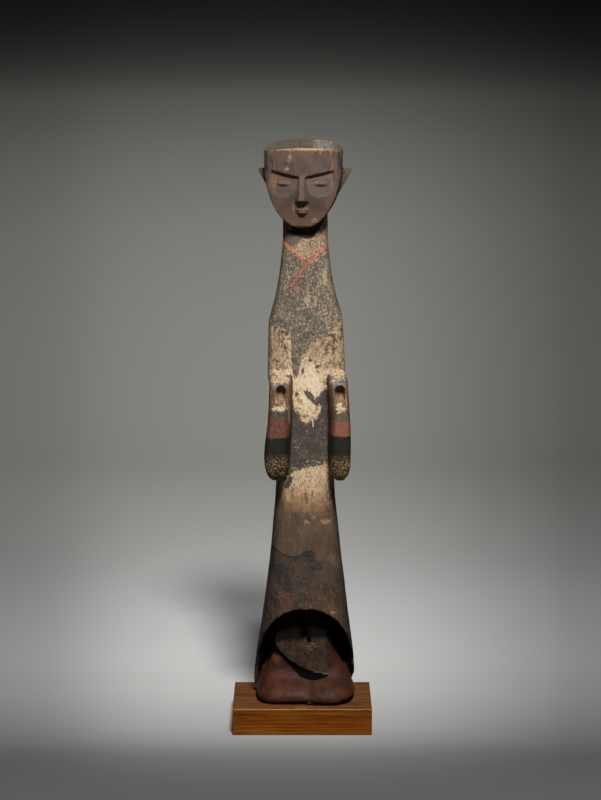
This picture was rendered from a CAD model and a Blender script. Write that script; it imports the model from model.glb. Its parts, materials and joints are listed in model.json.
"""A carved wooden court attendant on its small base, as a studio photograph shows it."""

import itertools
import json
import math
from statistics import NormalDist

import bmesh
import bpy
import numpy as np
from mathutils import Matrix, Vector
from mathutils.bvhtree import BVHTree

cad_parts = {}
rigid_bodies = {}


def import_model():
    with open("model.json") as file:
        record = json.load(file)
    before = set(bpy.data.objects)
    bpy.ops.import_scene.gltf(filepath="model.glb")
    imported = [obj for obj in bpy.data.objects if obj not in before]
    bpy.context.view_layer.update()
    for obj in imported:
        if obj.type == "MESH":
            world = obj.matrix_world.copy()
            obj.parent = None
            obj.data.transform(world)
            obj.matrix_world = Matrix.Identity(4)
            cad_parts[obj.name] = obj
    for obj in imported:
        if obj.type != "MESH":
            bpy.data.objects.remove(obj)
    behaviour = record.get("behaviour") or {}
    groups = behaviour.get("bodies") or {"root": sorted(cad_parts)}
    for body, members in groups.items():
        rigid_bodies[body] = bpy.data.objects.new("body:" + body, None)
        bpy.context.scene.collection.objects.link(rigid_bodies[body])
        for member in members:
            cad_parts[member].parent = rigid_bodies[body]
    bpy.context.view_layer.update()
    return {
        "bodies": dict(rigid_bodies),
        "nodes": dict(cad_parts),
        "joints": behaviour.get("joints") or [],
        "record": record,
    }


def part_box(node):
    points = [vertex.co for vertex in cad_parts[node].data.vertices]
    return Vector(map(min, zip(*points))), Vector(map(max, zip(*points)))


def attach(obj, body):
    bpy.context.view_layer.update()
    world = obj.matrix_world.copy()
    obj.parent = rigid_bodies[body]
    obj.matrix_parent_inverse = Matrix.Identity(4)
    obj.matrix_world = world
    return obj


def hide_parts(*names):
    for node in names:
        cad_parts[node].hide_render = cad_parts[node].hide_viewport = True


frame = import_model()

MM = 0.001
FIGURE_AXIS = (3.5, 2.0, 29.5)  # the middle of the figure's soles in the row frame, in mm
CHIN, CROWN = 527.0, 613.0  # heights above the soles
BODY_VOXEL = 1.95

# The figure's finishes, by number
SKIRT, CHEST, NECK, HOLLOW, FLAP, FEET, SLEEVE, HEAD = range(8)

# Half widths and fronts of the robe at some heights above the soles, in mm from the figure's axis
ROBE_HEIGHTS = [0, 63, 109, 155, 200, 241, 300, 343, 359, 380, 420, 446, 479, 527]
ROBE_HALVES = [61, 52.6, 46.5, 40.9, 36.1, 32.8, 32.5, 38.2, 43, 42.7, 41.5, 35.1, 28.3, 24.8]
ROBE_FRONTS = [45.4, 44.2, 41.3, 33.5, 27.7, 24, 23.5, 23.5, 23.5, 23.3, 23, 20.9, 19.3, 18.5]

# The arch in the hem's front, the y where its thin rim ends at some heights, and the flap's lower edge
ARCH_HALF, ARCH_HEIGHT, ARCH_POWER = 57, 108.5, 2.4
RIM_HEIGHTS = [46, 54, 60, 66, 70, 74, 78, 82]
RIM_FRONTS = [-2, -7, -10.5, -13.5, -16, -18.5, -22, -40]
FLAP_EDGE = [(-36, 70), (-31.5, 62.6), (-17.3, 46.5), (-6.3, 38), (10.3, 33.6), (25, 30.6)]

# Borders on the front as (x, height): each runs from the -X side to the +X side
SHOULDER_PAINT = [
    (-42, 421), (-28, 418.5), (-18, 415), (-15.8, 400), (-14.7, 371), (-10.5, 364), (-7.5, 370),
    (-4.5, 383), (1.5, 393), (9, 403), (21, 409), (33, 419), (41, 426),
]
CHEST_PAINT = [
    (-43, 345), (-17, 345), (-12.5, 331), (-6, 323), (-1.6, 315.5), (7, 316), (13.7, 322),
    (17, 331), (19, 347), (27, 351), (43, 351),
]
JACKET_HEM = [
    (-34, 238), (-27, 246.5), (-18.2, 253), (-8.2, 261), (4, 265.2), (22, 268), (34, 270),
]
SKIRT_WEAR = [
    (-36, 244), (-29, 236), (-22, 226), (-11, 219.6), (0, 217.4), (10, 219.6), (21, 224), (31, 232),
    (36, 244),
]
SCALLOP = [
    (-45, 178), (-34.6, 174), (-28.4, 170.5), (-21, 167.5), (-12.7, 166.4), (-5, 168), (3, 172.2),
    (9.4, 169.8), (17, 164.2), (24, 159.8), (35, 150), (45, 142),
]
CHIN_SHADE = [
    (-26, 527), (-20, 522.5), (-8.6, 517.5), (3, 515), (11.5, 521), (19.5, 532), (26, 540),
]
FLAP_SHADE = [
    (-36, 64), (-31, 54.5), (-20, 41), (-10, 31), (-3, 26), (9, 24), (20, 26.5), (25.5, 29),
    (27.5, 60), (32, 90),
]

# Spots of paint or bare wood as (x, height, half width, half height), some with a slant
SKIRT_CHIPS = [(2.8, 204, 3.6, 2.6), (22, 204, 5.4, 2.8), (9.4, 209.5, 2.2, 1.6), (30, 104, 3.2, 1.6)]
SKIRT_SMUDGES = [(0.8, 229, 2.3, 9, 0.12), (7, 235, 1.2, 4, 0.0), (-14, 240, 1.3, 4, -0.3)]
CHEST_CHIPS = [
    (4.6, 344, 7.6, 3.2, -0.85),
    (11.0, 336, 5.6, 2.4, -0.8),
    (19.5, 341, 5.0, 9.5, -0.25),
    (14.5, 339, 4.0, 4.5, 0.3),
    (13, 376, 3.0, 2.4, 0.4),
    (5.5, 383, 2.6, 1.8, 0.0),
    (-3, 371, 1.6, 4.0, 0.0),
]
NECK_DABS = [(1.5, 448, 3.0, 4.0), (10.5, 447, 1.0, 6.5), (20.5, 470, 3.0, 8.0), (2.5, 462, 0.9, 9.0)]
SLEEVE_DABS = [(-26.5, 335.0, 6.6, 2.6), (37.3, 336.0, 4.4, 4.0), (-19.5, 370, 4.2, 3.8)]
HEAD_FLECKS = [
    (-17, 603, 2.6, 5.5, -0.3),
    (-20, 592, 2.4, 3.4, -0.5),
    (10, 536, 4.0, 3.0, 0.2),
    (-13, 551, 1.2, 6.0, 0.0),
]
FLAP_SCRATCHES = [(4.5, 62.0, 6.5, 1.1, -0.1), (6.0, 58.5, 5.0, 1.1, -0.1), (7.5, 65.5, 3.0, 1.1, -0.1)]

# Worn edges of the sockets' frames, from one place (x, height) to another
SLEEVE_EDGES = [((-18.6, 364), (-17.6, 318)), ((-30.9, 360), (-32.0, 342)), ((43.2, 356), (44.4, 338))]

TAN = (0.27, 0.165, 0.090)
DEEP_BROWN = (0.050, 0.032, 0.021)
PALE_CREAM = (0.68, 0.555, 0.395)
CREAM = (0.46, 0.345, 0.22)
COLLAR_ORANGE = (0.62, 0.20, 0.105)
COLLAR_RED = (0.56, 0.165, 0.105)
COLLAR_CRIMSON = (0.48, 0.105, 0.085)

# The collar's lines as start, end, width and colour
COLLAR_STROKES = [
    ((-24.5, 511.0), (-12.0, 501.0), 4.0, COLLAR_ORANGE),
    ((-12.0, 501.0), (-1.5, 490.5), 2.3, COLLAR_RED),
    ((24.5, 508.5), (2.0, 488.0), 2.7, COLLAR_RED),
    ((2.0, 488.0), (-16.2, 464.0), 2.2, COLLAR_CRIMSON),
    ((-2.0, 472.0), (-14.6, 458.5), 1.2, COLLAR_CRIMSON),
]

# How pale the sweep is, from the front along the floor and up the wall, and to each side of the middle
SWEEP_ALONG = [
    (-1600, 0.45), (-800, 0.4), (-420, 0.12), (-200, 0.16), (-70, 0.31), (50, 0.46), (170, 0.58),
    (380, 0.66), (900, 0.57), (2100, 0.55), (2600, 0.5), (2950, 0.4), (3300, 0.22), (3700, 0.02),
    (4500, 0.01),
]
SWEEP_ACROSS = [
    (-600, 0.5), (-280, 0.7), (-160, 0.94), (-80, 1), (0, 1), (80, 0.91), (130, 0.8), (190, 0.64),
    (240, 0.52), (290, 0.42), (600, 0.3),
]

CAMERA_PLACE = (-0.001924, -2.60087, 0.79884)
CAMERA_PITCH = 9.4623  # degrees below level
KEY_PLACE, KEY_TARGET = (0.21, -1.658, 2.312), (0, 0, 0.32)


class Value:
    """A socket of a material. Operators on it add Math nodes."""

    def __init__(self, look, socket):
        self.look = look
        self.socket = socket

    def math(self, operation, *inputs):
        return self.look.node("ShaderNodeMath", {"operation": operation}, dict(enumerate(inputs)))

    def __add__(self, other):
        return self.math("ADD", self, other)

    def __sub__(self, other):
        return self.math("SUBTRACT", self, other)

    def __rsub__(self, other):
        return self.math("SUBTRACT", other, self)

    def __mul__(self, other):
        return self.math("MULTIPLY", self, other)

    def __truediv__(self, other):
        return self.math("DIVIDE", self, other)

    def __abs__(self):
        return self.math("ABSOLUTE", self)

    __radd__ = __add__
    __rmul__ = __mul__

    def root(self):
        return self.math("SQRT", self)

    def most(self, other):
        """The larger of two values."""
        return self.math("MAXIMUM", self, other)

    def least(self, other):
        """The smaller of two values."""
        return self.math("MINIMUM", self, other)


class Look:
    """A material under construction, with places on the piece in mm."""

    def __init__(self, name, origin=FIGURE_AXIS):
        self.material = bpy.data.materials.new(name)
        self.material.use_nodes = True
        self.tree = self.material.node_tree
        self.tree.nodes.clear()
        place = self.node("ShaderNodeTexCoord", {}, {}, output="Object")
        self.place = self.vector("MULTIPLY_ADD", place, (1000, 1000, 1000), tuple(-o for o in origin))
        parts = [self.node("ShaderNodeSeparateXYZ", {}, {0: self.place}, output=axis) for axis in "XYZ"]
        self.x, self.y, self.z = parts

    def node(self, kind, settings, inputs, output=0):
        """One output of a new node. Its settings come first, then the values or links of its sockets."""
        made = self.tree.nodes.new(kind)
        for name, setting in settings.items():
            if name == "points":
                curve = made.mapping.curves[0]
                for x, y in setting[1:-1]:
                    curve.points.new(x, y)
                curve.points[0].location = setting[0]
                curve.points[-1].location = setting[-1]
                made.mapping.update()
            else:
                setattr(made, name, setting)
        for key, value in inputs.items():
            if isinstance(value, Value):
                self.tree.links.new(value.socket, made.inputs[key])
            else:
                made.inputs[key].default_value = value
        return None if output is None else Value(self, made.outputs[output])

    def vector(self, operation, *inputs):
        return self.node("ShaderNodeVectorMath", {"operation": operation}, dict(enumerate(inputs)))

    def noise(self, size, stretch=(1, 1, 1), detail=2.0, rough=0.55, shift=0.0):
        """Noise about 0.5 with lumps of that size in mm, drawn out along x, y and z by stretch."""
        shrunk = tuple(1 / (size * s) for s in stretch)
        at = self.vector("MULTIPLY_ADD", self.place, shrunk, (shift, 2.3 * shift, 5.1 * shift))
        inputs = {"Vector": at, "Scale": 1.0, "Detail": detail, "Roughness": rough}
        return self.node("ShaderNodeTexNoise", {}, inputs)

    def over(self, value, low, high):
        """A smooth step from 0 at low to 1 at high."""
        return self.node(
            "ShaderNodeMapRange",
            {"interpolation_type": "SMOOTHSTEP"},
            {"Value": value, "From Min": low, "From Max": high},
        )

    def mix(self, factor, under, upper):
        """The colour under, covered by the colour upper where factor is 1."""
        as_colour = [c if isinstance(c, Value) else (*c, 1.0) for c in (under, upper)]
        return self.node(
            "ShaderNodeMix", {"data_type": "RGBA"}, {0: factor, 6: as_colour[0], 7: as_colour[1]}, output=2
        )

    def stain(self, colour, tint, strength, value, low, high):
        """The colour, with up to that strength of tint where value goes from low to high."""
        return self.mix(self.over(value, low, high) * strength, colour, tint)

    def curve(self, value, points):
        """A number for every value, on a bent line through points of (value, number)."""
        first, length = points[0][0], points[-1][0] - points[0][0]
        low = min(number for _, number in points)
        rise = max(number for _, number in points) - low
        line = [((at - first) / length, (number - low) / rise) for at, number in points]
        share = self.node("ShaderNodeClamp", {}, {"Value": (value - first) / length})
        bent = self.node("ShaderNodeFloatCurve", {"points": line}, {"Value": share})
        return bent * rise + low

    def border(self, points):
        """A height in mm for every x, through points of (x, height)."""
        return self.curve(self.x, [(-64, points[0][1]), *points, (64, points[-1][1])])

    def stroke(self, start, end, width, uneven=0.0):
        """1 on a brush stroke between two places (x, z), 0 off it, its edges off by uneven mm."""
        run, rise = end[0] - start[0], end[1] - start[1]
        x, z = self.x - start[0], self.z - start[1]
        along = (x * run + z * rise) / (run * run + rise * rise)
        held = along.most(0.0).least(1.0)
        off_x, off_z = x - held * run, z - held * rise
        away = (off_x * off_x + off_z * off_z).root() + uneven
        return 1 - self.over(away, 0.35 * width, 0.65 * width)

    def patch(self, x, z, half_width, half_height, slant=0.0):
        """How far outside an oval place is: 0 at its middle, 1 on its edge."""
        c, s = math.cos(slant), math.sin(slant)
        dx, dz = self.x - x, self.z - z
        across = (dx * c + dz * s) / half_width
        up = (dz * c - dx * s) / half_height
        return (across * across + up * up).root()

    def specks(self, size, share, stretch=(1, 1, 1.4), shift=0.0):
        """1 on specks of about that size in mm that cover about that share, 0 between them."""
        level = 0.5 + 0.095 * NormalDist().inv_cdf(1 - share)
        return self.over(self.noise(size, stretch, 4.0, 0.65, shift), level - 0.03, level + 0.03)

    def flakes(self, size, stretch=(1, 1, 1.3), shift=0.0):
        """Two random numbers from 0 to 1 for every uneven flake of about that size in mm."""
        shrunk = tuple(1 / (size * s) for s in stretch)
        at = self.vector("MULTIPLY_ADD", self.place, shrunk, (shift, 1.7 * shift, 3.1 * shift))
        inputs = {"Vector": at, "Scale": 0.9, "Detail": 3.0}
        sway = self.node("ShaderNodeTexNoise", {}, inputs, output="Color")
        bent = self.vector("MULTIPLY_ADD", sway, (1.6, 1.6, 1.6), at)
        flake = self.node("ShaderNodeTexVoronoi", {}, {"Vector": bent, "Scale": 1.0}, output="Color")
        return [self.node("ShaderNodeSeparateXYZ", {}, {0: flake}, output=axis) for axis in "XY"]

    def ragged(self, waves, crumbs, shift=0.0):
        """An offset about 0 that makes a border uneven, with waves and crumbs of about those heights."""
        slow = self.noise(9, (1, 1, 1.2), 3.0, 0.6, shift + 0.5) - 0.5
        quick = self.noise(1.8, (1, 1, 1.2), 4.0, 0.65, shift + 0.7) - 0.5
        return slow * (9 * waves) + quick * (9 * crumbs)

    def finish(self, colour, roughness, height, depth, specular=0.35):
        """Closes the material. height from 0 to 1 is depth mm of bump."""
        bump = self.node("ShaderNodeBump", {}, {"Height": height, "Distance": depth * MM})
        shader = self.node(
            "ShaderNodeBsdfPrincipled",
            {},
            {"Base Color": colour, "Roughness": roughness, "Normal": bump, "Specular IOR Level": specular},
        )
        self.node("ShaderNodeOutputMaterial", {}, {"Surface": shader}, output=None)
        return self.material


def lumps(points, size, seed):
    """Smooth noise from -1 to 1 at points in mm, with lumps of that size along x, y and z."""
    table = np.random.default_rng(seed).uniform(-1, 1, (32, 32, 32))
    cell = points / np.array(size)
    low = np.floor(cell).astype(int)
    part = cell - low
    part = part * part * (3 - 2 * part)
    total = np.zeros(len(points))
    for corner in itertools.product((0, 1), repeat=3):
        weight = np.prod(np.where(corner, part, 1 - part), axis=1)
        index = (low + corner) % 32
        total += weight * table[index[:, 0], index[:, 1], index[:, 2]]
    return total


def ramp(value, low, high):
    """A smooth step from 0 at low to 1 at high, for arrays."""
    t = np.clip((value - low) / (high - low), 0, 1)
    return t * t * (3 - 2 * t)


def remeshed(node, name, voxel):
    """A copy of a CAD node's mesh in even small faces."""
    piece = bpy.data.objects.new(name, node.data.copy())
    bpy.context.collection.objects.link(piece)
    even = piece.modifiers.new("even", "REMESH")
    even.mode = "VOXEL"
    even.voxel_size = voxel * MM
    evaluated = piece.evaluated_get(bpy.context.evaluated_depsgraph_get())
    fine = bpy.data.meshes.new_from_object(evaluated)
    piece.modifiers.clear()
    piece.data = fine
    fine.materials.clear()
    return piece


def places_of(mesh):
    """The mesh's points and normals, the points in mm from the figure's axis and soles."""
    points = np.empty(3 * len(mesh.vertices))
    mesh.vertices.foreach_get("co", points)
    normals = np.empty(3 * len(mesh.vertices))
    mesh.vertices.foreach_get("normal", normals)
    return points.reshape(-1, 3) / MM - FIGURE_AXIS, normals.reshape(-1, 3)


def smooth(mesh, verts, factor):
    """Moves each vertex part of the way to the middle of its neighbours."""
    every_way = {"use_axis_x": True, "use_axis_y": True, "use_axis_z": True}
    bmesh.ops.smooth_vert(mesh, verts=verts, factor=factor, **every_way)


def sharpen_head(piece, node):
    """Halves the faces of the head and lays them on the CAD head again, so that its edges stay crisp."""
    skin = BVHTree.FromObject(node, bpy.context.evaluated_depsgraph_get())
    mesh = bmesh.new()
    mesh.from_mesh(piece.data)
    low = (FIGURE_AXIS[2] + CHIN - 4) * MM
    edges = [e for e in mesh.edges if min(v.co.z for v in e.verts) > low]
    bmesh.ops.subdivide_edges(mesh, edges=edges, cuts=1, use_grid_fill=True)
    raised = [v for v in mesh.verts if v.co.z > low + 3 * MM]
    for vertex in raised:
        nearest = skin.find_nearest(vertex.co)[0]
        if (nearest - vertex.co).length < 1.2 * MM:
            vertex.co = nearest
    smooth(mesh, raised, 0.3)
    bmesh.ops.triangulate(mesh, faces=[f for f in mesh.faces if len(f.verts) > 4])
    mesh.to_mesh(piece.data)
    mesh.free()


def arch_half(z):
    """Half the width of the hem's front arch at a height."""
    return ARCH_HALF * (1 - np.clip(z / ARCH_HEIGHT, 0, 1) ** ARCH_POWER) ** (1 / ARCH_POWER)


def zones(points, normals):
    """Which finish each point of the figure has, as a number."""
    x, y, z = points.T
    half, front = np.interp(z, ROBE_HEIGHTS, ROBE_HALVES), np.interp(z, ROBE_HEIGHTS, ROBE_FRONTS)
    zone = np.select([z < 288, z < 436], [SKIRT, CHEST], NECK)
    # Under the robe, or in the arch's opening, but not the robe's own back
    reach = (np.abs(x) / (half - 3.5)) ** 2.6 + (np.abs(y) / (front - 3.5)) ** 2.6
    inside = (z < 117) & (reach < 1) | (np.abs(x) < arch_half(z) - 0.8) & (y < -2)
    inside &= (y < 4) | (normals[:, 1] < 0.35)
    zone[inside] = HOLLOW
    # The flap hangs behind the arch, and the feet stand under it
    flap_low = np.interp(x, *np.array(FLAP_EDGE).T)
    zone[inside & (x > -36) & (x < 26) & (z > flap_low - 0.8) & (y < 32.5 - front)] = FLAP
    feet_half = np.interp(z, [0, 9, 21, 35, 56, 80, 115], [54.5, 56, 51, 44, 33, 25, 22])
    zone[inside & (zone != FLAP) & (np.abs(x) < feet_half + 1) & (z < 80)] = FEET
    # The sleeves stand out of the robe's front and sides
    slim = np.interp(z, [241, 300, 330, 343, 358], [33.8, 33.5, 36, 39.2, 44])
    beside = (np.abs(x) > slim) & (z < 345) & (y < 15)
    zone[(z > 250) & (z < 368) & ((y < -front - 0.8) | beside)] = SLEEVE
    outside_neck = (x / 26.5) ** 2 + (y / 20) ** 2 > 1
    zone[(z > CHIN + 26) | (z > CHIN - 3) & outside_neck] = HEAD
    return zone


def ease_low_part(piece):
    """Takes the steps of the CAD facets out of the feet, and eases the thin hem beside them."""
    points, normals = places_of(piece.data)
    x, y, z = points.T
    zone = zones(points, normals)
    feet = (zone == FEET) & (z > 2) & (z < 60) & (y < -8)
    hem = (np.abs(x) > 30) & (z > 4) & (z < 106) & (y < 6) & ~np.isin(zone, (FEET, FLAP))
    mesh = bmesh.new()
    mesh.from_mesh(piece.data)
    for soft, passes in ((feet, 10), (hem, 3)):
        verts = list(itertools.compress(mesh.verts, soft))
        for _ in range(passes):
            smooth(mesh, verts, 0.5)
    mesh.to_mesh(piece.data)
    mesh.free()


def mark_depth(zone):
    """How deep the marks are, as a share: less on the feet, least on the head."""
    return np.select([zone == HEAD, zone == FEET], [0.35, 0.55], 1.0)


def tool_marks(points, zone):
    """Facets of the chisel, fine grain and long cracks, fainter on the head."""
    deep = mark_depth(zone)
    depth = 0.28 * deep * (1 + lumps(points, (9, 9, 26), 1))
    depth += 0.16 * deep * (1 + lumps(points, (4.5, 4.5, 14), 2))
    grain = ramp(np.abs(lumps(points, (3.6, 3.6, 60), 3)), 0.25, 0)
    depth += 0.3 * np.where(zone <= NECK, 1, 0.3) * grain * deep
    crack = ramp(np.abs(lumps(points, (13, 13, 170), 4)), 0.05, 0.0)
    crack *= ramp(lumps(points, (17, 17, 60), 5), 0.05, 0.35)
    return depth + 0.9 * crack * np.where(zone == HEAD, 0.5, 1)


def paint_relief(points, zone):
    """Pits where the cream has flaked, and the step under the skirt's scalloped border."""
    x, y, z = points.T
    cream = (zone == CHEST) & (z > 305) & (z < 425) | (zone == SLEEVE) & (z < 284)
    pits = ramp(lumps(points, (3.2, 3.2, 4), 6), 0.5, 0.75)
    depth = 0.7 * np.where(cream, 1, 0.15) * pits * mark_depth(zone)
    fold = np.interp(x, *np.array(SCALLOP).T)
    step = ramp(fold - z, -1.2, 0.6) * ramp(z, fold - 26, fold - 4)
    return depth + 0.35 * step * (zone <= NECK) * (y < 0)


def worn_edges(points, zone):
    """Chips on the crown's front edge, the hem and the soles."""
    x, y, z = points.T
    crown = ramp(z, CROWN - 3.5, CROWN - 0.5) * ramp(-y, 22, 33) * (zone == HEAD)
    depth = 0.9 * crown * ramp(lumps(points, (4, 4, 4), 7), -0.1, 0.6)
    hem = ramp(18 - z, 0, 10) * ((zone <= NECK) | (zone == HOLLOW)) * (np.abs(x) > 40)
    depth += 1.1 * hem * ramp(lumps(points, (3, 3, 9), 8), -0.2, 0.7)
    sole = ramp(4.2 - z, 0, 3.0) * (zone == FEET)
    return depth + 1.8 * sole * ramp(lumps(points, (16, 16, 16), 9), -0.7, 0.3)


def feet_and_flap(points, normals, zone):
    """The valley between the feet, their front planes, and the flap's worn hole."""
    x, y, z = points.T
    front_of_feet = (zone == FEET) & (y < -12)
    valley = np.exp(-(((x - 4 + 0.05 * z) / 6.5) ** 2)) * ramp(z, 40, 22)
    toe_plane = ramp(x, -47, -33) * ramp(x, -22, -36) + ramp(x, 12, 22) * ramp(x, 36, 24)
    depth = front_of_feet * (2.6 * valley + 0.5 * (1 - toe_plane) * ramp(z, 36, 20))
    oval = ((x - 0.5) / 4.6) ** 2 + ((z - 74) / 6.2) ** 2
    hole = ramp(oval + 0.7 * lumps(points, (4, 4, 4), 10), 1.25, 0.8)
    return depth + 2.4 * hole * (zone == FLAP) * (normals[:, 1] < -0.6)


def carve_relief(piece):
    """Cuts the relief into the mesh along its normals, and keeps the hem's rim and the crown in line."""
    points, normals = places_of(piece.data)
    x, y, z = points.T
    zone = zones(points, normals)
    depth = tool_marks(points, zone) + paint_relief(points, zone)
    depth += worn_edges(points, zone) + feet_and_flap(points, normals, zone)
    thin = ramp(np.abs(x) - arch_half(z), 9, 2) * (z < 114) * (y < 6) * (zone == SKIRT)
    depth *= 1 - 0.85 * np.maximum(thin, zone == HOLLOW)
    depth = np.where(z < 0.15, 0, depth)
    moved = points - normals * depth[:, None]
    rim_half = np.where((zone == SKIRT) | (zone == HOLLOW), 32, 37)
    rim = (z > RIM_HEIGHTS[0]) & (z < RIM_HEIGHTS[-1]) & (y < 0) & (np.abs(x) > rim_half)
    rim_front = np.maximum(moved[:, 1], np.interp(z, RIM_HEIGHTS, RIM_FRONTS))
    moved[:, 1] = np.where(rim, rim_front, moved[:, 1])
    crown_limit = CROWN + 6 * ramp(y, -38, 30) - 3.6 * (x / 43) ** 2 + 0.3
    moved[:, 2] = np.where(z > CROWN - 8, np.minimum(moved[:, 2], crown_limit), moved[:, 2])
    moved = (moved + FIGURE_AXIS) * MM
    piece.data.vertices.foreach_set("co", moved.ravel())
    piece.data.update()


def spread_finishes(piece, finishes):
    """Gives each face of the figure the finish of its zone."""
    mesh = piece.data
    for material in finishes:
        mesh.materials.append(material)
    normals = places_of(mesh)[1]
    corners = np.array([polygon.vertices[0] for polygon in mesh.polygons])
    middles = np.array([polygon.center for polygon in mesh.polygons]) / MM - FIGURE_AXIS
    mesh.polygons.foreach_set("material_index", zones(middles, normals[corners]))
    mesh.polygons.foreach_set("use_smooth", np.ones(len(mesh.polygons), bool))
    mesh.update()


def skirt_paint(look):
    """Brown wood and soot, rust towards the hem, and worn cream under the jacket."""
    cloud = look.noise(15, (1, 1, 1.7), 3.0, 0.6, 17.0)
    fibre = look.noise(0.9, (1, 1, 11), 3.0, 0.6, 3.0)
    colour = look.mix(look.over(cloud, 0.36, 0.64), (0.072, 0.048, 0.034), (0.112, 0.072, 0.047))
    colour = look.stain(colour, (0.040, 0.028, 0.021), 0.5, fibre, 0.48, 0.70)
    colour = look.mix(look.specks(2.2, 0.10, shift=5.0) * 0.5, colour, (0.17, 0.10, 0.056))

    step = look.z - look.border(SCALLOP)
    kind, tone = look.flakes(1.5, (1, 1, 1.4), 12.0)
    right = look.over(look.x, 2, 14)
    soot = look.mix(look.over(cloud, 0.40, 0.58), (0.014, 0.016, 0.018), (0.042, 0.031, 0.024))
    soot = look.stain(soot, (0.062, 0.047, 0.034), 0.4, fibre, 0.52, 0.66)
    fleck = look.mix(tone, (0.050, 0.050, 0.044), (0.12, 0.080, 0.052))
    soot = look.stain(soot, fleck, 0.5, kind, 0.80, 0.88)
    fall = step + look.ragged(0.6, 0.5) * (1 + right * 3.0)
    colour = look.mix(look.over(fall / (1 + right * 5.0), 0.8, -0.8) * (0.85 - right * 0.15), colour, soot)
    crease = look.over(abs(step + 0.9), 1.2, 0.3) * look.over(look.x, 9, 2)
    colour = look.mix(crease * 0.75, colour, (0.018, 0.013, 0.010))

    low = look.over(look.z, 146, 106)
    clusters = look.over(look.patch(-22, 116, 12, 24), 1, 0) + look.over(look.patch(6, 110, 13, 16), 1, 0)
    clusters = clusters + look.over(look.patch(27, 112, 9, 22), 1, 0)
    streaks = look.noise(3.2, (1, 1, 2.4), 5.0, 0.70, 31.0)
    rusted = streaks + low * 0.04 + clusters * 0.10 + (kind - 0.5) * 0.12
    rust = look.over(rusted, 0.52, 0.78) * look.over(look.z, 158, 122)
    colour = look.mix(rust * 0.85, colour, look.mix(tone, (0.105, 0.045, 0.026), (0.20, 0.080, 0.036)))
    for spot in SKIRT_CHIPS:
        chip = look.over(look.patch(*spot) - look.ragged(0.2, 0.35, spot[0]), 1.1, 0.75)
        colour = look.mix(chip * 0.8, colour, TAN)

    rise = look.z - look.border(SKIRT_WEAR) + look.ragged(3.5, 2.5, 40.0)
    wear = look.over(rise, -15, 11)
    cream = look.mix(look.over(rise, 0, 34), (0.27, 0.155, 0.078), (0.58, 0.43, 0.275))
    cream = look.mix(look.specks(3.6, 0.4, shift=44.0) * 0.45, cream, (0.30, 0.20, 0.12))
    colour = look.mix(wear, colour, cream)
    dashes = look.specks(0.8, 0.22, (1, 1, 3.6), 23.0)
    colour = look.mix(wear * dashes * 0.85, colour, DEEP_BROWN)
    for spot in SKIRT_SMUDGES:
        smudge = look.over(look.patch(*spot) - look.ragged(0.3, 0.5, spot[0]), 1.15, 0.5)
        colour = look.mix(smudge * 0.7, colour, (0.060, 0.046, 0.038))
    oval = look.patch(27, 234, 3.4, 6.0, -0.2)
    ring = look.over(abs(oval - 1.0), 0.28, 0.08)
    colour = look.mix(ring * 0.6, colour, DEEP_BROWN)
    edge = abs(look.x) + look.z * 0.093 + look.ragged(1.0, 1.0, 48.0)
    return look.stain(colour, (0.026, 0.022, 0.019), 0.75, edge, 47, 56)


def jacket_tone(look):
    """Dark purplish paint with ochre and cream flecks, and the random number of each flake."""
    blotch = look.noise(6, (1, 1, 1.5), 4.0, 0.6, 61.0)
    kind, tone = look.flakes(1.6, (1, 1, 1.3), 65.0)
    paint = look.mix(look.over(blotch, 0.40, 0.60), (0.060, 0.052, 0.047), (0.086, 0.067, 0.051))
    fleck = look.mix(tone, (0.12, 0.09, 0.062), (0.27, 0.215, 0.15))
    paint = look.stain(paint, fleck, 0.6, kind + (blotch - 0.5) * 0.8, 0.84, 0.90)
    return look.stain(paint, (0.036, 0.032, 0.030), 0.5, kind, 0.16, 0.10), kind


def jacket_hem(look, colour):
    """The jacket's paint ends in a slanting, flecked hem."""
    paint, kind = jacket_tone(look)
    edge = look.z - look.border(JACKET_HEM) + look.ragged(0.8, 1.3, 60.0)
    wedge = look.over(look.patch(-18.5, 248, 3.0, 7.5, -0.4) + edge * 0.02, 1.05, 0.8)
    paint = look.mix(look.over(kind, 0.70, 0.76) * look.over(edge, 11, 0) * 0.8, paint, (0.42, 0.33, 0.22))
    paint = look.stain(paint, (0.026, 0.022, 0.019), 0.6, edge, 2.2, 0.2)
    cover = look.over(edge, -0.6, 0.6)
    return look.mix(cover.most(wedge), colour, paint)


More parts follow.
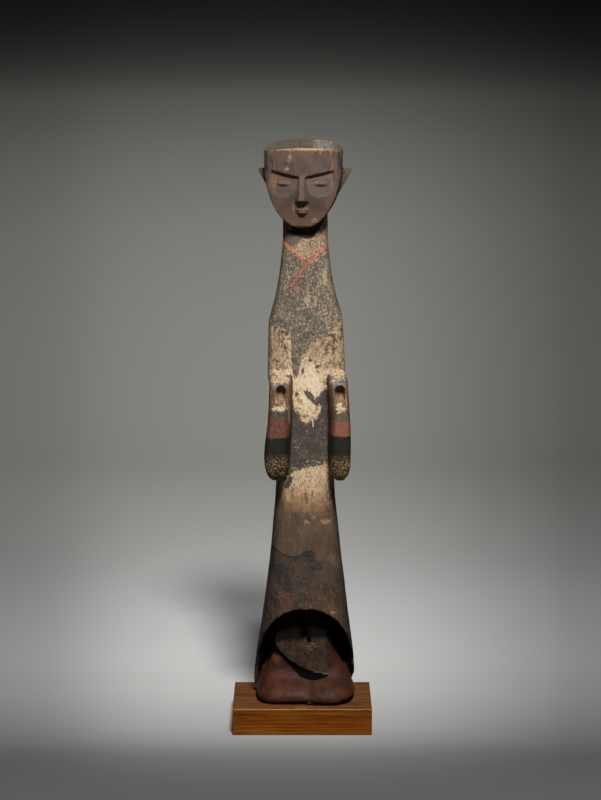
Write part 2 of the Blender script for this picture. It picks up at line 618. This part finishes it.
def chest_paint(look, colour):
    """Flaked cream over the arms and the middle of the chest, with a bright daub and dark chips."""
    height = look.z - look.border(CHEST_PAINT)
    uneven = look.ragged(1.0, 1.0, 80.0)
    cover = look.over(height + uneven * 1.7, -0.9, 0.9)
    seep = look.over(height - uneven * 2.0, -5, 3) * look.over(look.x, 16, 8) * look.over(look.z, 300, 318)
    colour = look.mix(seep * 0.5, colour, (0.125, 0.080, 0.050))
    blotch = look.noise(5.5, (1, 1, 1.3), 4.0, 0.60, 84.0)
    cloud = look.noise(13, (1, 1, 1.5), 3.0, 0.6, 86.0)
    kind, tone = look.flakes(1.9, (1, 1, 1.3), 88.0)
    paint = look.mix(look.over(blotch, 0.36, 0.56), (0.28, 0.185, 0.105), (0.60, 0.45, 0.29))
    paint = look.stain(paint, look.mix(tone, (0.45, 0.34, 0.22), PALE_CREAM), 0.75, kind, 0.66, 0.72)
    paint = look.stain(paint, (0.16, 0.105, 0.062), 0.7, kind, 0.15, 0.10)
    arms = look.over(abs(look.x), 14, 24)
    paint = look.mix(arms * look.over(look.z, 364, 376) * 0.4, paint, (0.21, 0.150, 0.092))
    ochre = look.over(look.patch(8, 394, 13, 11) + uneven * 0.3, 1.1, 0.5)
    paint = look.mix(ochre * 0.65, paint, (0.235, 0.155, 0.092))
    middle = look.patch(4.0, 351, 14.5, 27)
    bright = look.over(middle + uneven * 0.24, 1.08, 0.80)
    grain = look.stain(PALE_CREAM, (0.45, 0.335, 0.21), 0.6, kind, 0.74, 0.80)
    grain = look.stain(grain, (0.40, 0.29, 0.18), 0.5, blotch, 0.56, 0.66)
    paint = look.mix(bright, paint, grain)
    high = look.over(look.z, 378, 402)
    worn = (cloud - 0.5) * 0.75 + arms * 0.030 + high * 0.025 - bright * 0.09
    pits = look.noise(2.6, (1, 1, 1.25), 4.0, 0.62, 94.0) + worn
    paint = look.stain(paint, (0.155, 0.100, 0.060), 0.7, pits, 0.57, 0.63)
    paint = look.stain(paint, (0.050, 0.036, 0.026), 0.75, pits, 0.64, 0.69)
    colour = look.mix(cover, colour, paint)
    for spot in CHEST_CHIPS:
        chip = look.over(look.patch(*spot) + uneven * 0.14, 1.08, 0.90)
        colour = look.mix(chip * 0.92, colour, (0.066, 0.054, 0.048))
    drip = look.stroke((8, 318), (8.4, 310), 1.3)
    return look.mix(drip * 0.8, colour, PALE_CREAM)


def shoulder_grey(look):
    """Grey-green paint worn to cream flecks, more of them on the +X side and up the neck."""
    blotch = look.noise(6.5, (1, 1, 1.2), 4.0, 0.60, 102.0)
    kind, tone = look.flakes(1.25, (1, 1, 1.5), 104.0)
    small, small_tone = look.flakes(0.85, (1, 1, 1.7), 106.0)
    warm = look.over(look.z, 424, 452)
    paint = look.mix(look.over(blotch, 0.40, 0.60), (0.098, 0.090, 0.076), (0.170, 0.130, 0.094))
    paint = look.stain(paint, (0.050, 0.044, 0.036), 0.65, small, 0.36, 0.24)
    paint = look.stain(paint, (0.20, 0.165, 0.125), 0.6, small, 0.80, 0.86)
    paint = look.mix(look.over(kind, 0.12, 0.08) * warm * 0.65, paint, (0.23, 0.095, 0.072))
    green = look.over(kind, 0.14, 0.18) * look.over(kind, 0.30, 0.26)
    paint = look.mix(green * warm * 0.6, paint, (0.085, 0.112, 0.072))
    lean = look.over(look.x, -16, 34) * 0.16 + warm * 0.03 + look.over(look.z, 470, 500) * 0.02
    lean = lean + (blotch - 0.5) * 0.8
    cream = look.mix(tone, (0.145, 0.112, 0.080), (0.40, 0.32, 0.22))
    paint = look.stain(paint, cream, 0.75, kind + lean, 0.82, 0.92)
    fine = look.mix(small_tone, (0.20, 0.155, 0.11), (0.52, 0.44, 0.33))
    paint = look.stain(paint, fine, 0.75, small + lean * 0.7, 0.92, 0.97)
    return paint, blotch, small, small_tone


def neck_paint(look):
    """The shoulder's paint from the collar up, the bare wood under the chin and the collar's red lines."""
    paint, blotch, small, small_tone = shoulder_grey(look)
    uneven = look.ragged(1.0, 1.0, 114.0)
    for spot in NECK_DABS:
        dab = look.over(look.patch(*spot) + uneven * 0.3, 1.1, 0.6)
        paint = look.mix(dab * 0.6, paint, (0.42, 0.31, 0.19))
    dark = look.over(look.patch(-3, 470, 9, 8) - uneven * 0.3, 1.2, 0.5)
    paint = look.mix(dark * 0.45, paint, (0.070, 0.066, 0.060))
    above_right_line = look.over(look.z - 0.82 * look.x + uneven, 488, 492)
    neck = above_right_line * look.over(look.z + 0.80 * look.x, 489, 493)
    crumbs = look.mix(small_tone, (0.27, 0.18, 0.115), (0.48, 0.35, 0.23))
    crumbs = look.mix(look.over(small, 0.30, 0.46), (0.160, 0.105, 0.068), crumbs)
    paint = look.mix(neck * 0.9, paint, crumbs)
    bare = look.over(look.patch(-17.5, 521, 14.5, 15.5) + uneven * 0.04, 1.06, 0.92)
    paint = look.mix(bare, paint, (0.130, 0.092, 0.072))
    paint = look.stain(paint, (0.085, 0.062, 0.043), 0.35, abs(look.x + 1), 23, 36)
    skip = look.over(small + (blotch - 0.5) * 1.4, 0.20, 0.30) * look.over(look.y, 2, -4) * 0.82
    for start, end, width, red in COLLAR_STROKES:
        paint = look.mix(look.stroke(start, end, width, uneven * 0.5) * skip, paint, red)
    chin = look.z - look.border(CHIN_SHADE) + uneven * 0.3
    under_chin = look.over(chin, -0.8, 1.6) * look.over(look.y, -1, -8)
    return look.mix(under_chin * 0.93, paint, (0.010, 0.007, 0.006))


def robe_surface(look, colour):
    """Closes each of the robe's materials with the same matt, finely crumbled surface."""
    crumbs = look.noise(1.4, (1, 1, 1.5), 4.0, 0.65, 94.0)
    fibre = look.noise(0.9, (1, 1, 11), 3.0, 0.6, 3.0)
    cloud = look.noise(11, (1, 1, 2.2), 4.0, 0.6, 96.0)
    wood = look.mix(look.over(cloud, 0.36, 0.64), (0.060, 0.045, 0.034), (0.120, 0.085, 0.058))
    wood = look.stain(wood, (0.034, 0.026, 0.020), 0.4, fibre, 0.50, 0.66)
    colour = look.stain(colour, wood, 0.85, look.y + (crumbs - 0.5) * 8, 3, 15)
    roughness = 0.70 + 0.2 * look.over(crumbs, 0.35, 0.65)
    return look.finish(colour, roughness, crumbs * 0.55 + fibre * 0.3, 0.9, specular=0.12)


def skirt_finish():
    """The robe's lower half, up to the jacket's hem."""
    look = Look("worn_skirt_paint")
    return robe_surface(look, jacket_hem(look, skirt_paint(look)))


def chest_finish():
    """The flaked cream of chest and arms, and the shoulders' grey above its border."""
    look = Look("flaked_chest_paint")
    colour = chest_paint(look, jacket_tone(look)[0])
    cover = look.over(look.z - look.border(SHOULDER_PAINT) + look.ragged(1.2, 1.6, 100.0), -1.0, 1.0)
    return robe_surface(look, look.mix(cover, colour, shoulder_grey(look)[0]))


def neck_finish():
    """The shoulders' paint from the collar up to the chin."""
    look = Look("worn_neck_paint")
    return robe_surface(look, neck_paint(look))


def sleeve_finish():
    """Mottled pouches under a black and a red band and a stripe, and worn wood round the sockets."""
    look = Look("worn_sleeve_paint")
    right = look.over(look.x, -1, 1)
    z = look.z + look.ragged(0.5, 0.7, 3.0)
    blotch = look.noise(3.4, (1, 1, 1.3), 4.0, 0.62, 5.0)
    in_front = look.over(look.y, -29, -37)
    inner = look.over(abs(look.x), 22, 19) * (1 - right) + look.over(look.x, 28.5, 26) * right

    kind, tone = look.flakes(1.9, (1, 1, 1.2), 7.0)
    crumb, crumb_tone = look.flakes(1.1, (1, 1, 1.2), 8.0)
    fleck = look.mix(crumb_tone, (0.095, 0.060, 0.030), (0.40, 0.275, 0.14))
    flecked = look.over(crumb + (blotch - 0.5) * 1.1 + right * 0.12, 0.56, 0.70)
    mottle = look.mix(flecked, (0.034, 0.022, 0.013), fleck)
    colour = look.stain(mottle, (0.024, 0.018, 0.014), 0.75, z, 272, 283)
    black = look.over(z, 282.5 - 1.5 * right, 286 - 1.5 * right)
    worn = look.specks(1.6, 0.10, shift=11.0)
    lacquer = look.mix(worn * 0.5, (0.016, 0.015, 0.013), (0.060, 0.050, 0.040))
    colour = look.mix(black * in_front * 0.92, colour, lacquer)
    red = look.over(z, 301.8 + 2.0 * right, 303.0 + 2.0 * right)
    band = look.mix(right, (0.120, 0.046, 0.032), (0.245, 0.084, 0.055))
    band = look.stain(band, (0.150, 0.085, 0.058), 0.6, blotch, 0.42, 0.62)
    band = look.mix(look.specks(1.3, 0.06, shift=13.0) * 0.7, band, (0.42, 0.31, 0.20))
    colour = look.mix(red, colour, band)
    grey = look.over(z, 324.2 - 4.0 * right, 325.6 - 4.0 * right)
    stripe = look.mix(look.over(blotch, 0.44, 0.58), (0.060, 0.058, 0.048), (0.125, 0.095, 0.068))
    stripe = look.mix(look.specks(1.0, 0.22, (5, 5, 1), 15.0) * right * 0.7, stripe, (0.20, 0.16, 0.11))
    colour = look.mix(grey, colour, stripe)
    frame = look.over(z, 330.6, 332.2)
    fibre = look.noise(0.9, (1, 1, 12), 3.0, 0.6, 17.0)
    wood = look.mix(look.over(fibre, 0.42, 0.60), (0.095, 0.050, 0.028), (0.205, 0.115, 0.062))
    wood = look.stain(wood, look.mix(tone, (0.26, 0.145, 0.080), (0.48, 0.36, 0.24)), 0.7, kind, 0.72, 0.80)
    colour = look.mix(frame, colour, wood)
    dab_tone = look.mix(look.specks(1.3, 0.25, shift=21.0), PALE_CREAM, (0.33, 0.24, 0.15))
    for spot in SLEEVE_DABS:
        dab = look.over(look.patch(*spot) - look.ragged(0.45, 0.8, spot[0]) * 0.6, 1.15, 0.85)
        colour = look.mix(dab * 0.92, colour, dab_tone)
    drip = look.stroke((31.6, 352), (31.4, 343), 3.2)
    cap = look.over(z + 3.0 * right + look.ragged(2.6, 1.8, 23.0), 356.0, 357.6)
    lilac = look.mix(look.over(blotch, 0.42, 0.58), (0.120, 0.112, 0.118), (0.20, 0.168, 0.145))
    fleck = look.mix(tone, (0.22, 0.165, 0.11), (0.46, 0.38, 0.28))
    lilac = look.stain(lilac, fleck, 0.6, kind, 0.80, 0.88)
    lilac = look.stain(lilac, (0.085, 0.062, 0.045), 0.8, kind, 0.20, 0.14)
    colour = look.mix(cap.most(drip), colour, lilac)
    above = look.over(look.z - 2.0 * right + look.ragged(2.4, 1.8, 29.0), 362.5, 364.0)
    colour = look.mix(above, colour, look.mix(look.over(kind, 0.36, 0.28), CREAM, (0.115, 0.075, 0.045)))
    for start, end in SLEEVE_EDGES:
        edge = look.stroke(start, end, 1.5) * look.specks(1.6, 0.7, (1, 1, 2.5), 33.0)
        colour = look.mix(edge * 0.75, colour, (0.45, 0.30, 0.185))
    hole = look.over(look.y, -52.5, -49.5) * look.over(look.z, 336, 339) * look.over(look.z, 361, 359)
    bare = look.mix(look.over(fibre, 0.42, 0.60), (0.15, 0.088, 0.052), (0.30, 0.185, 0.112))
    colour = look.mix(hole, colour, bare)

    rubbed = look.over(blotch + look.specks(1.5, 0.3, shift=35.0) * 0.1, 0.50, 0.62)
    side = look.mix(rubbed, (0.052, 0.034, 0.022), (0.26, 0.18, 0.105))
    behind = look.over(look.y, -33, -25) * (1 - inner)
    colour = look.mix(behind * look.over(look.z, 280, 300) * 0.85, colour, side)
    colour = look.mix(inner * look.over(look.y, -42, -32) * 0.7, colour, (0.040, 0.028, 0.020))
    roughness = 0.64 + 0.2 * look.over(blotch, 0.35, 0.65)
    return look.finish(colour, roughness, blotch * 0.6 + fibre * 0.25, 0.8, specular=0.12)


def head_finish():
    """Dark wood, warmer at the chin, with flecks of paint and a worn crown."""
    look = Look("dark_head_wood")
    soft = look.noise(11, (1, 1, 1.3), 3.0, 0.55, 1.0)
    tone = look.noise(8, (1, 1, 1.8), 3.0, 0.6, 3.0)
    streaks = look.noise(2.2, (1, 1, 9), 3.0, 0.6, 5.0)
    fibre = look.noise(0.7, (1, 1, 16), 3.0, 0.6, 7.0)
    colour = look.mix(look.over(soft, 0.38, 0.60), (0.072, 0.053, 0.045), (0.112, 0.066, 0.050))
    colour = look.stain(colour, (0.064, 0.061, 0.063), 0.7, tone, 0.52, 0.66)
    colour = look.stain(colour, (0.18, 0.090, 0.055), 0.30, streaks, 0.52, 0.74)
    middle = look.over(look.z, 588, 560) * look.over(look.z, 536, 552)
    colour = look.mix(middle * 0.35, colour, (0.052, 0.034, 0.027))
    colour = look.stain(colour, (0.155, 0.076, 0.050), 0.6, look.z, 556, 534)
    colour = look.stain(colour, (0.150, 0.062, 0.050), 0.6, look.patch(-0.8, 545.8, 8.5, 3.6), 1.15, 0.8)
    colour = look.stain(colour, (0.048, 0.033, 0.026), 0.40, fibre, 0.50, 0.72)
    colour = look.mix(look.specks(1.3, 0.035, shift=9.0) * 0.55, colour, (0.34, 0.235, 0.15))
    for spot in HEAD_FLECKS:
        cluster = look.over(look.patch(*spot), 1.2, 0.6)
        colour = look.mix(cluster * look.specks(1.2, 0.40, shift=11.0) * 0.8, colour, (0.40, 0.28, 0.18))
    for x, z, half_height in ((-33.5, 585, 40), (27.5, 592, 30)):
        warm = look.over(look.patch(x, z, 3.2, half_height), 1.0, 0.2) * look.over(streaks, 0.42, 0.62)
        colour = look.mix(warm * 0.7, colour, (0.22, 0.105, 0.052))
    ear = look.over(abs(look.x), 43.5, 45.5)
    colour = look.mix(ear * 0.55, colour, (0.150, 0.098, 0.070))
    side = (look.over(look.x, 33.0, 35.5) + look.over(look.x, -39.5, -41.5)) * look.over(look.z, 584, 592)
    side = side * look.over(look.z, 611.5, 609.0) * look.over(look.y, 10, 4)
    side_tone = look.mix(look.over(tone, 0.40, 0.60), (0.028, 0.024, 0.021), (0.062, 0.054, 0.045))
    colour = look.mix(side * 0.85, colour, side_tone)

    crumbs = look.noise(1.7, (1.4, 1, 1), 4.0, 0.62, 13.0)
    depth = CROWN - look.z + (crumbs - 0.5) * 9
    run = look.over(look.noise(3.0, (1, 1, 4), 3.0, 0.6, 15.0), 0.50, 0.66)
    drips = look.over(depth, 9.5, 1.5) * run
    colour = look.mix(drips * look.over(look.y, -12, -24) * 0.75, colour, (0.27, 0.130, 0.060))
    lip = look.over(depth, 2.6, 1.2) * look.over(look.y, -12, -24)
    lip_tone = look.mix(look.over(crumbs, 0.42, 0.60), (0.26, 0.145, 0.075), (0.52, 0.385, 0.26))
    colour = look.mix(lip * 0.9, colour, lip_tone)
    facing = look.node("ShaderNodeNewGeometry", {}, {}, output="True Normal")
    up = look.node("ShaderNodeSeparateXYZ", {}, {0: facing}, output="Z")
    flat = look.over(up, 0.6, 0.85) * look.over(look.z, 600, 606)
    crown = look.mix(look.over(tone, 0.40, 0.60), (0.072, 0.064, 0.052), (0.118, 0.093, 0.068))
    crown = look.mix(look.specks(2.2, 0.16, (3, 1, 1), 17.0) * 0.6, crown, (0.060, 0.054, 0.048))
    pale = look.over(look.patch(20, 620, 14, 30), 1.2, 0.4) * look.specks(1.8, 0.30, (1.5, 1, 1), 19.0)
    crown = look.mix(pale * 0.8, crown, (0.50, 0.44, 0.38))
    colour = look.mix(flat * look.over(look.y, -35, -31), colour, crown)
    roughness = 0.50 + 0.18 * look.over(soft, 0.35, 0.65)
    return look.finish(colour, roughness, fibre * 0.45 + streaks * 0.35, 0.4, specular=0.25)


def hollow_finish():
    """The wood under the robe, nearly black."""
    look = Look("dark_underside_wood")
    grain = look.noise(1.6, (1, 1, 14), 3.0, 0.6)
    colour = look.mix(look.over(grain, 0.4, 0.65), (0.002, 0.001, 0.001), (0.006, 0.004, 0.003))
    return look.finish(colour, 0.95, grain, 0.9, specular=0.03)


def flap_finish():
    """The inner robe's flap: olive paint, scratches and the worn hole."""
    look = Look("olive_flap_paint")
    blotch = look.noise(6, (1, 1, 1.2), 4.0, 0.6, 3.0)
    grain = look.noise(1.2, (1, 1, 7), 3.0, 0.6, 5.0)
    colour = look.mix(look.over(blotch, 0.40, 0.60), (0.022, 0.019, 0.016), (0.050, 0.031, 0.019))
    colour = look.stain(colour, (0.022, 0.017, 0.013), 0.4, grain, 0.52, 0.68)
    colour = look.mix(look.specks(2.4, 0.16, shift=7.0) * 0.6, colour, (0.105, 0.050, 0.028))
    for spot in FLAP_SCRATCHES:
        scratch = look.over(look.patch(*spot) - look.ragged(0.2, 0.5, spot[1]), 1.1, 0.6)
        scratch = scratch * look.specks(1.2, 0.6, (2, 1, 1), 9.0)
        colour = look.mix(scratch * 0.7, colour, (0.24, 0.135, 0.105))
    edge = look.over(look.z - look.border(FLAP_EDGE) + look.ragged(0.3, 0.4, 11.0), 1.8, 0.6)
    colour = look.mix(edge * 0.5, colour, (0.115, 0.075, 0.052))
    shaded = look.over(look.z - look.x * 0.09 + look.ragged(0.3, 0.2, 15.0), 66, 73)
    colour = look.mix(shaded * 0.95, colour, (0.006, 0.004, 0.003))
    uneven = look.ragged(0.20, 0.22, 13.0)
    broken = look.over(look.patch(-0.8, 76, 5.4, 6.8, 0.5) - uneven, 1.05, 0.95)
    notch = look.over(look.patch(3.4, 69.5, 2.6, 3.2, 0.3) - uneven, 1.05, 0.92)
    colour = look.mix(broken.most(notch), colour, (0.001, 0.001, 0.001))
    return look.finish(colour, 0.82, grain * 0.5 + blotch * 0.5, 0.6, specular=0.03)


def feet_finish():
    """Red-brown feet, dark where the flap shades them."""
    look = Look("red_brown_feet")
    soft = look.noise(12, (1, 1, 1.3), 3.0, 0.55, 1.0)
    blotch = look.noise(4.5, (1, 1, 1.4), 4.0, 0.6, 3.0)
    grain = look.noise(1.2, (1, 1, 8), 3.0, 0.6, 5.0)
    colour = look.mix(look.over(soft, 0.38, 0.62), (0.029, 0.0100, 0.0055), (0.056, 0.0155, 0.0070))
    colour = look.stain(colour, (0.056, 0.036, 0.027), 0.30, blotch, 0.54, 0.68)
    valley = look.over(look.patch(4.5, 14, 7, 24), 1.2, 0.2)
    colour = look.mix(valley * 0.45, colour, (0.036, 0.021, 0.014))
    colour = look.stain(colour, (0.036, 0.017, 0.013), 0.4, grain, 0.52, 0.70)
    colour = look.mix(look.specks(1.3, 0.05, (1.5, 1, 1), 7.0) * 0.5, colour, (0.20, 0.135, 0.105))
    orange = look.over(look.patch(-36, 52, 7, 14, 0.5), 1.2, 0.3)
    colour = look.mix(orange * 0.45, colour, (0.17, 0.062, 0.032))
    colour = look.stain(colour, (0.016, 0.008, 0.006), 0.7, look.z + look.ragged(0.6, 0.6, 9.0), 5.5, 1.5)
    under_flap = look.z - look.border(FLAP_SHADE) + look.ragged(0.2, 0.2, 11.0)
    shade = look.over(under_flap, -0.7, 0.7) * look.over(look.x, 27, 26)
    behind = look.over(look.z, 50, 72) * look.over(look.x, 26, 27) * 0.8
    dark = shade.most(behind)
    colour = look.mix(dark, colour, (0.001, 0.001, 0.001))
    gloss = 0.46 + 0.16 * look.over(blotch, 0.35, 0.65) + dark * 0.5
    return look.finish(colour, gloss, grain * 0.4 + blotch * 0.6, 0.6, specular=0.10)


def base_finish():
    """Orange-brown hardwood with grain along the block and a worn top edge."""
    look = Look("orange_base_wood", origin=(0, 0, 0))
    bands = look.noise(2.2, (45, 6, 1), 3.0, 0.6, 1.0)
    lines = look.noise(0.7, (60, 5, 1), 4.0, 0.65, 4.0)
    cloud = look.noise(24, (2.5, 1, 0.6), 2.0, 0.5, 9.0)
    colour = look.mix(look.over(bands, 0.38, 0.62), (0.100, 0.023, 0.001), (0.180, 0.052, 0.003))
    colour = look.stain(colour, (0.042, 0.010, 0.001), 0.7, lines, 0.50, 0.62)
    colour = look.stain(colour, (0.250, 0.090, 0.010), 0.4, lines, 0.46, 0.38)
    colour = look.stain(colour, (0.215, 0.074, 0.008), 0.30, cloud, 0.42, 0.66)
    top = look.over(look.z, 28.9, 29.3)
    worn = look.mix(look.over(lines, 0.44, 0.62), (0.115, 0.052, 0.023), (0.070, 0.028, 0.012))
    colour = look.mix(top * 0.75, colour, worn)
    edge = look.over(look.z, 28.4, 29.0) * look.over(look.y, -52.2, -53.2)
    colour = look.mix(edge * look.specks(1.4, 0.75, (6, 1, 1), 11.0) * 0.7, colour, (0.36, 0.19, 0.08))
    chip = look.over(look.patch(-1, 30, 7, 60), 1.1, 0.9)
    chip = chip * look.over(look.y, -47.4, -48.2) * look.over(look.y, -51.0, -50.0)
    colour = look.mix(chip * top * 0.6, colour, (0.30, 0.16, 0.065))
    roughness = 0.55 + 0.14 * look.over(bands, 0.3, 0.7)
    return look.finish(colour, roughness, lines * 0.6 + bands * 0.3, 0.15, specular=0.06)


def floor_finish():
    """Pale grey paper, bright round the figure and darker to the front, the sides and the top."""
    look = Look("pale_grey_sweep", origin=(0, 0, 0))
    along = look.y + look.z
    depth = look.y + 2730 - look.z * 0.17
    across = look.x / depth.most(1500.0) * 2433
    front = look.over(along, 0, -300) * look.over(along, -900, -400)
    left = look.over(across, -110, -300) * look.over(along, 1500, 500)
    tone = look.curve(along, SWEEP_ALONG) * look.curve(across, SWEEP_ACROSS)
    tone = tone * (1 - left * 0.26) * (1 - front) + front * 0.095
    tint = look.mix(look.over(along, 500, 1800), (0.965, 0.985, 1.0), (0.985, 1.0, 0.955))
    return look.finish(look.mix(tone, (0, 0, 0), tint), 0.95, 0.5, 0.1, specular=0.0)


def make_base(node):
    """The block, with its edges slightly rounded and a little uneven."""
    piece = bpy.data.objects.new("base_block", node.data.copy())
    bpy.context.collection.objects.link(piece)
    piece.data.materials.clear()
    piece.data.materials.append(base_finish())
    low, high = (np.array(corner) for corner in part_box("wooden_base"))
    mesh = bmesh.new()
    bmesh.ops.create_cube(mesh, size=1.0)
    for vertex in mesh.verts:
        vertex.co = Vector((np.array(vertex.co) + 0.5) * (high - low) + low)
    bmesh.ops.bevel(mesh, geom=mesh.edges[:], offset=0.8 * MM, segments=3, affect="EDGES", profile=0.5)
    long_edges = [e for e in mesh.edges if e.calc_length() > 0.02]
    bmesh.ops.subdivide_edges(mesh, edges=long_edges, cuts=30, use_grid_fill=True)
    for vertex in mesh.verts:
        spot = np.array(vertex.co)[None] / MM
        hollow = 0.12 - 0.10 * lumps(spot, (30, 14, 9), 11)[0]
        if low[2] + 2 * MM < vertex.co.z < high[2] - 1.5 * MM:
            vertex.co.y -= math.copysign(hollow * MM, vertex.co.y)
    mesh.to_mesh(piece.data)
    mesh.free()
    for polygon in piece.data.polygons:
        polygon.use_smooth = True
    return piece


def sweep():
    """The pale floor, which rises behind into a wall on one large curve."""
    radius, depth, top = 1.6, 1.5, 4.0
    steps, columns = 24, 21
    profile = [(-4.5, 0.0), (-1.0, 0.0), (depth, 0.0)]
    for angle in np.linspace(0, math.pi / 2, steps + 1)[1:]:
        profile.append((depth + radius * math.sin(angle), radius * (1 - math.cos(angle))))
    profile.append((depth + radius, top))
    verts = [(x, y, z) for y, z in profile for x in np.linspace(-5, 5, columns)]
    corners = (0, 1, columns + 1, columns)
    faces = [
        tuple(row * columns + column + corner for corner in corners)
        for row in range(len(profile) - 1)
        for column in range(columns - 1)
    ]
    mesh = bpy.data.meshes.new("studio_sweep")
    mesh.from_pydata(verts, [], faces)
    for polygon in mesh.polygons:
        polygon.use_smooth = True
    floor = bpy.data.objects.new("studio_sweep", mesh)
    bpy.context.collection.objects.link(floor)
    floor.data.materials.append(floor_finish())


def key_light():
    """The one round lamp, above the camera."""
    data = bpy.data.lights.new("key", "AREA")
    data.shape = "DISK"
    data.size = 0.5
    data.energy = 102
    data.color = (1.0, 0.97, 0.93)
    light = bpy.data.objects.new("key", data)
    light.location = KEY_PLACE
    light.rotation_euler = (Vector(KEY_TARGET) - Vector(KEY_PLACE)).to_track_quat("-Z", "Y").to_euler()
    bpy.context.collection.objects.link(light)


def studio():
    """The camera and the light of the photograph."""
    data = bpy.data.cameras.new("photo_camera")
    data.lens = 108.0
    data.sensor_width = 36.0
    data.clip_end = 30.0
    camera = bpy.data.objects.new("photo_camera", data)
    camera.location = CAMERA_PLACE
    camera.rotation_euler = (math.radians(90 - CAMERA_PITCH), 0, 0)
    bpy.context.collection.objects.link(camera)
    bpy.context.scene.camera = camera

    key_light()
    world = bpy.data.worlds.new("dim_room")
    world.use_nodes = True
    background = world.node_tree.nodes["Background"]
    background.inputs["Color"].default_value = (0.9, 0.95, 1.0, 1.0)
    background.inputs["Strength"].default_value = 0.04
    bpy.context.scene.world = world
    bpy.context.scene.view_settings.view_transform = "Standard"


def dress_figure(node):
    """The figure as one finer mesh with its relief and eight finishes."""
    piece = remeshed(node, "carved_attendant", BODY_VOXEL)
    sharpen_head(piece, node)
    ease_low_part(piece)
    carve_relief(piece)
    makers = {
        SKIRT: skirt_finish,
        CHEST: chest_finish,
        NECK: neck_finish,
        HOLLOW: hollow_finish,
        FLAP: flap_finish,
        FEET: feet_finish,
        SLEEVE: sleeve_finish,
        HEAD: head_finish,
    }
    spread_finishes(piece, [makers[zone]() for zone in sorted(makers)])
    return piece


attendant = dress_figure(frame["nodes"]["attendant_figure"])
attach(attendant, "root")
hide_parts("attendant_figure")

block = make_base(frame["nodes"]["wooden_base"])
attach(block, "root")
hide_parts("wooden_base")

sweep()
studio()
